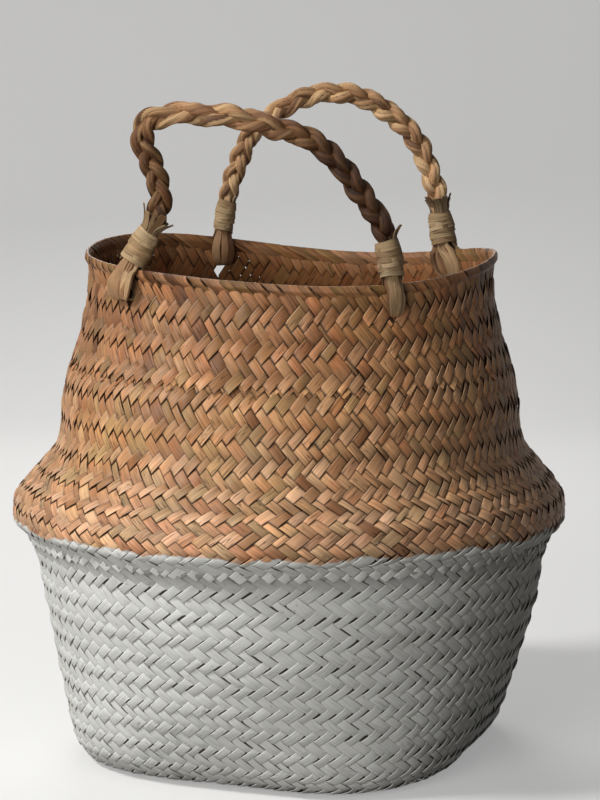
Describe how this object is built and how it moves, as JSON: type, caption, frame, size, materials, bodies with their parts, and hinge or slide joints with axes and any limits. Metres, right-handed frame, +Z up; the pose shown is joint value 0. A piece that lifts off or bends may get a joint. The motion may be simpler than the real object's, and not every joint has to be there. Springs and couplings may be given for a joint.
{
  "type": "belly basket",
  "caption": "Plaited leaf basket with a rounded-square base, a round belly, a waisted open neck and a pair of plaited handles.",
  "frame": {"origin": "centre of the base's underside, on the floor", "axes": "+Z up, +X along the handles' span, to the right as seen from the front handle's side, -Y towards the front handle"},
  "size_m": [0.3804, 0.3804, 0.4587],
  "materials": {
    "painted_leaf": "matt pale grey paint brushed over plaited leaf",
    "natural_leaf": "dry plaited leaf, tan to brown, satin along the fibre",
    "border_leaf": "folded leaf strip, satin",
    "handle_leaf": "bundled dry leaf, twisted and plaited",
    "straw_tape": "flat pale straw tape, satin"
  },
  "bodies": {
    "bowl": {"base_mat": "painted_leaf", "bowl_wall": "painted_leaf", "belly_crease": "natural_leaf", "flare": "natural_leaf"},
    "neck": {"neck_wall": "natural_leaf", "rim_border": "border_leaf", "front_left_root": "handle_leaf", "front_right_root": "handle_leaf", "back_left_root": "handle_leaf", "back_right_root": "handle_leaf"},
    "front_handle": {"front_strand_1": "handle_leaf", "front_strand_2": "handle_leaf", "front_strand_3": "handle_leaf", "front_left_binding": "straw_tape", "front_right_binding": "straw_tape", "front_left_tuft": "straw_tape", "front_right_tuft": "straw_tape"},
    "back_handle": {"back_strand_1": "handle_leaf", "back_strand_2": "handle_leaf", "back_strand_3": "handle_leaf", "back_left_binding": "straw_tape", "back_right_binding": "straw_tape", "back_left_tuft": "straw_tape", "back_right_tuft": "straw_tape"}
  },
  "joints": [
    {"name": "neck_drop", "type": "slide", "parent": "bowl", "child": "neck", "axis": [0, 0, 1], "range_m": [-0.078, 0], "deforming": ["flare"]},
    {"name": "front_handle_swing", "type": "hinge", "parent": "neck", "child": "front_handle", "pos_m": [-0.089, -0.08537, 0.3291], "axis": [0.9989, -0.0115, -0.0463], "range_deg": [-40, 70], "deforming": ["front_left_root", "front_right_root"]},
    {"name": "back_handle_swing", "type": "hinge", "parent": "neck", "child": "back_handle", "pos_m": [-0.072, 0.09485, 0.34138], "axis": [-0.9956, 0.085, 0.04], "range_deg": [-40, 70], "deforming": ["back_left_root", "back_right_root"]}
  ]
}
